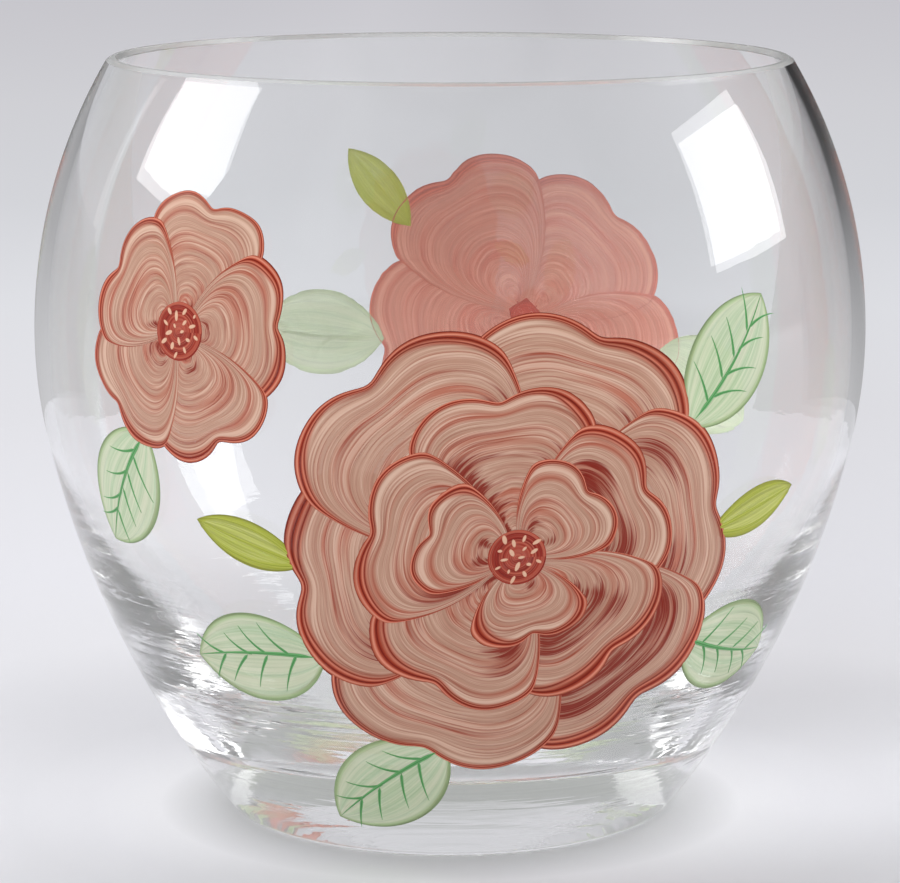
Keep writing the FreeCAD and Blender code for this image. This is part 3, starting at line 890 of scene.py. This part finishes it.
def makeSprig(kind, name, bloomName, base, point):
    # a leaf or a bud that grows from under its bloom
    sprig, bloom = sprigs[kind], blooms[bloomName]
    length, width = sprig["length"], sprig["width"]
    reach = bloom["reach"] - spray["overlap"]
    root, tip = math.radians(base), math.radians(point)
    across = reach * math.sin(root) + length / 2 * math.sin(tip)
    level = bloom["level"] + reach * math.cos(root) + length / 2 * math.cos(tip)
    turn = bloomTurn(bloom) + math.degrees(across / outerRadius(level))
    sheets = [(*blade(length, width, point, name), 0)]
    for line, lineWidth, height in sprig["lines"](name, length, width):
        sheets.append((*paintLine(line, lineWidth, height, point), 1))
    strokePiece(f"painted_{name}", sheets, turn, level, sprig["paints"], sprig["slot"], covers[bloomName])


covers = {bloomName: makeBloom(bloomName, bloom) for bloomName, bloom in blooms.items()}
for kind, places in (("leaf", leaves), ("bud", buds)):
    for name, place in places.items():
        makeSprig(kind, name, *place)
print("leaves and buds ready")


# a grey card low behind the bowl: its tones run round it, its weights from the near edge to the far one
lowCard = {"near": (0.5, 0.002), "far": (1.25, 0.2), "weights": (0, 0.5, 1), "through": True, "above": 0}
shineCard = {"near": (0.45, 0.001), "weights": (0.2, 1, 1)}
# the studio: a pale floor that runs out of sight, two side softboxes, and light from above and the front
studio = {
    "floorReach": 6.0,
    "floorTurns": 96,
    "floorLevel": -0.0002,
    # the table's tone by its distance from the bowl, in shares of the tone reach: a painted contact shadow
    # ring at the foot, a painted pool of light around it, and painted light and shade farther out
    "toneReach": 4.0,
    "floorTonesAndPaintedShade": [
        (0.0, (224, 225, 228)), (0.0104, (224, 225, 228)), (0.0112, (100, 100, 102)),
        (0.0119, (212, 213, 215)), (0.0126, (234, 235, 238)), (0.0138, (238, 239, 243)),
        (0.0155, (226, 226, 230)), (0.0175, (220, 220, 225)), (0.023, (215, 215, 220)),
        (0.0335, (221, 221, 226)), (0.042, (228, 228, 233)), (0.066, (229, 229, 235)),
        (0.13, (225, 225, 230)), (0.195, (226, 227, 232)), (0.29, (220, 221, 226)),
        (0.435, (222, 222, 227)), (0.685, (219, 218, 224)), (1.0, (214, 214, 220)),
    ],
    # and painted light and shade by its side, lighter just left of the bowl and darker just right of it, from
    # 0.2 m at the left to 0.2 m at the right
    "sideScale": 2.5,
    "sidePaintedShade": [(0.0, 0.99), (0.33, 1.03), (0.74, 0.93), (1.0, 0.99)],
    # the room's tones, by height and from front to back
    "wallTones": [
        (0.5, (203, 203, 209)), (0.57, (196, 197, 200)), (0.62, (172, 174, 172)),
        (0.70, (180, 182, 180)), (0.78, (214, 214, 218)), (1.0, (222, 222, 226)),
    ],
    "frontTones": [(0.25, (0.36, 0.36, 0.35, 1)), (0.62, 1)],
    "worldLight": 0.80,
    # the share of a softbox that shows inside the heavy base
    "baseShare": 0.8,
    "leftBox": {
        "turn": -89, "rise": 30.7, "away": 1.7, "wide": 0.92, "high": 0.78, "roll": -1,
        "lamp": 3.1, "card": 4.6, "outline": [(-1, -1), (0.72, -1), (1, -0.2), (0.62, 1), (-1, 1)],
    },
    "rightBox": {
        "turn": 92.9, "rise": 18.8, "away": 1.7, "wide": 0.9, "high": 0.7, "roll": -9,
        "lamp": 3.1, "card": 4.6, "outline": [(-1, -1), (1, -0.66), (1, 0.25), (0.9, 1), (-1, 1)],
    },
    "leftStrip": {
        "turn": -117, "rise": 13, "away": 1.7, "wide": 0.07, "high": 0.8, "roll": 0,
        "lamp": 0, "card": 1.1, "outline": [(-1, -1), (1, -1), (1, 1), (-1, 1)],
    },
    "frontLamp": {
        "turn": 0, "rise": 28, "away": 2.4, "wide": 1.2, "high": 0.8, "roll": 0, "lamp": 2.6, "card": 0,
    },
    "cardTone": 0.62,
    "cardSteps": 60,
    "leftFlat": {**lowCard, "hand": -1, "tones": [(13, 0.6), (20, 0.40), (30, 0.30), (46, 0.40), (66, 0.6)]},
    "rightFlat": {
        **lowCard, "hand": 1, "tones": [(14, 0.6), (19, 0.2), (23, 0.02), (30, 0.02), (38, 0.34), (56, 0.6)],
    },
    "leftShine": {
        **shineCard, "hand": -1, "far": (1.2, 0.26), "through": False, "above": 0,
        "tones": [(2, 0.12), (12, 0.14), (24, 0.26), (50, 0.28), (70, 0.5)],
    },
    "rightShine": {
        **shineCard, "hand": 1, "far": (1.2, 0.36), "through": True, "above": 0.06,
        "tones": [(0, 0.03), (30, 0.03), (42, 0.14), (56, 0.30), (74, 0.5)],
    },
}


def floorMaterial():
    material, tree, shader = newMaterial("paleFloor", {"Roughness": 0.8, "Specular IOR Level": 0.0})
    place = addNode(tree, "NewGeometry").outputs["Position"]
    reach = addNode(tree, "VectorMath", {0: place})
    reach.operation = "LENGTH"
    distance = calculate(tree, "DIVIDE", reach.outputs["Value"], studio["toneReach"])
    # the floor's colour carries painted shadow and painted light by distance from the bowl
    tone = ramp(tree, distance, inColour(studio["floorTonesAndPaintedShade"]))
    across = total(tree, product(tree, parts(tree, place)[0], studio["sideScale"]), 0.5)
    # painted light and shade by side, multiplied into the floor's colour
    side = ramp(tree, across, studio["sidePaintedShade"])
    feed(tree, shader, {"Base Color": mixColour(tree, 1.0, tone, side, "MULTIPLY")})
    return material


def makeFloor():
    turns, reach, level = studio["floorTurns"], studio["floorReach"], studio["floorLevel"]
    angles = [2 * math.pi * k / turns for k in range(turns)]
    rim = [(reach * math.cos(angle), reach * math.sin(angle), level) for angle in angles]
    faces = [(0, 1 + k, 1 + (k + 1) % turns) for k in range(turns)]
    floor = linked("studioFloor", [(0, 0, level)] + rim, faces)
    floor.data.materials.append(floorMaterial())


def makeWorld():
    world = bpy.data.worlds.new("studioWorld")
    scene.world = world
    world.use_nodes = True
    tree = world.node_tree
    rays = addNode(tree, "LightPath").outputs
    # the room as seen directly, in reflections and through glass; everything else gets plain even light
    seen = calculate(tree, "MAXIMUM", rays["Is Glossy Ray"], rays["Is Transmission Ray"])
    seen = calculate(tree, "MAXIMUM", seen, rays["Is Camera Ray"])
    seen = product(tree, seen, calculate(tree, "LESS_THAN", rays["Diffuse Depth"], 0.5))
    _, back, up = parts(tree, addNode(tree, "TexCoord").outputs["Generated"])
    wall = ramp(tree, halved(tree, up), inColour(studio["wallTones"]))
    front = ramp(tree, halved(tree, back), studio["frontTones"])
    wall = mixColour(tree, 1.0, wall, front, "MULTIPLY")
    colour = mixColour(tree, seen, grey(studio["worldLight"]), wall)
    feed(tree, tree.nodes["Background"], {"Color": colour, "Strength": 1.0})
    world.cycles.sampling_method = "NONE"


def cardTree(name):
    # a card that gives its light only to reflections and to what is seen through the glass
    material, tree, shader = newMaterial(name, {"Base Color": grey(0), "Specular IOR Level": 0.0})
    rays = addNode(tree, "LightPath").outputs
    feed(tree, shader, {"Emission Strength": calculate(tree, "LESS_THAN", rays["Diffuse Depth"], 0.5)})
    material.cycles.emission_sampling = "NONE"
    return material, tree, shader, rays


def hideCard(card, material):
    card.data.materials.append(material)
    card.visible_camera = False
    card.visible_diffuse = False
    card.visible_shadow = False


def keepToEdge(tree, shader, rays, level):
    # shows only in reflections, and in light that turned once inside the wall above a level
    spot = addNode(tree, "NewGeometry").outputs
    climb = product(tree, parts(tree, spot["Incoming"])[2], rays["Ray Length"])
    high = calculate(tree, "GREATER_THAN", total(tree, parts(tree, spot["Position"])[2], climb), level)
    inside = calculate(tree, "GREATER_THAN", rays["Glossy Depth"], 0.5)
    inside = product(tree, product(tree, isCount(tree, rays["Transmission Depth"], 2.0), inside), high)
    outside = calculate(tree, "LESS_THAN", rays["Is Transmission Ray"], 0.5)
    showWhere(tree, shader, calculate(tree, "MAXIMUM", inside, outside))


def makeFlat(name, flat):
    # a low grey ramp off to one side behind the bowl, met only by reflections and by light through the glass
    material, tree, shader, rays = cardTree(name)
    tint = addNode(tree, "Attribute")
    tint.attribute_name = "cardTone"
    feed(tree, shader, {"Emission Color": tint.outputs["Color"]})
    if flat["above"]:
        keepToEdge(tree, shader, rays, flat["above"])
    base, steps = studio["cardTone"], studio["cardSteps"]
    turns, levels = zip(*flat["tones"])
    vertices, faces, tones = [], [], []
    for k in range(steps + 1):
        turn = turns[0] + (turns[-1] - turns[0]) * k / steps
        tone = float(np.interp(turn, turns, levels))
        angle = math.radians(turn * flat["hand"])
        for share, weight in zip((0, 0.4, 1), flat["weights"]):
            away, level = [a + (b - a) * share for a, b in zip(flat["near"], flat["far"])]
            vertices.append((away * math.sin(angle), away * math.cos(angle), level))
            shown = base + (tone - base) * weight
            tones += [shown, shown, shown * 1.03, 1.0]
    for k in range(0, 3 * steps, 3):
        faces += [(k, k + 3, k + 4, k + 1), (k + 1, k + 4, k + 5, k + 2)]
    board = linked(name, vertices, faces)
    board.data.color_attributes.new("cardTone", "FLOAT_COLOR", "POINT").data.foreach_set("color", tones)
    board.visible_transmission = flat["through"]
    hideCard(board, material)


def makeLamp(name, box, place, facing):
    data = bpy.data.lights.new(name, "AREA")
    data.shape = "RECTANGLE"
    data.size = box["wide"]
    data.size_y = box["high"]
    data.energy = box["lamp"] * box["wide"] * box["high"] * math.pi
    data.cycles.use_multiple_importance_sampling = False
    lamp = bpy.data.objects.new(name, data)
    lamp.location = place
    lamp.rotation_mode = "QUATERNION"
    lamp.rotation_quaternion = facing
    lamp.visible_camera = False
    lamp.visible_glossy = False
    scene.collection.objects.link(lamp)


def makeCard(name, box, place, facing):
    # full strength where the light turned once on its way, and weaker inside the heavy base
    corners = [Vector((x * box["wide"] / 2, y * box["high"] / 2, 0)) for x, y in box["outline"]]
    material, tree, shader, rays = cardTree(name)
    once = isCount(tree, rays["Glossy Depth"], 1.0)
    strength = mixColour(tree, once, grey(box["card"] * studio["baseShare"]), grey(box["card"]))
    feed(tree, shader, {"Emission Color": strength})
    card = linked(name, [place + facing @ corner for corner in corners], [tuple(range(len(corners)))])
    hideCard(card, material)


def makeBox(name, box):
    # a softbox: a lamp that lights paint and table, and a card in the same place for its reflection
    turn, rise = math.radians(box["turn"]), math.radians(box["rise"])
    out = Vector((math.sin(turn) * math.cos(rise), -math.cos(turn) * math.cos(rise), math.sin(rise)))
    facing = out.to_track_quat("Z", "Y") @ Quaternion((0, 0, 1), math.radians(box["roll"]))
    place = Vector((0, 0, 0.1)) + out * box["away"]
    if box["lamp"]:
        makeLamp(name, box, place, facing)
    if box["card"]:
        makeCard(name + "Card", box, place, facing)


makeFloor()
makeWorld()
makeBox("leftSoftbox", studio["leftBox"])
makeBox("rightSoftbox", studio["rightBox"])
makeBox("leftStrip", studio["leftStrip"])
makeBox("frontLamp", studio["frontLamp"])
for name in ("leftFlat", "rightFlat", "leftShine", "rightShine"):
    makeFlat(name, studio[name])
print("studio ready")
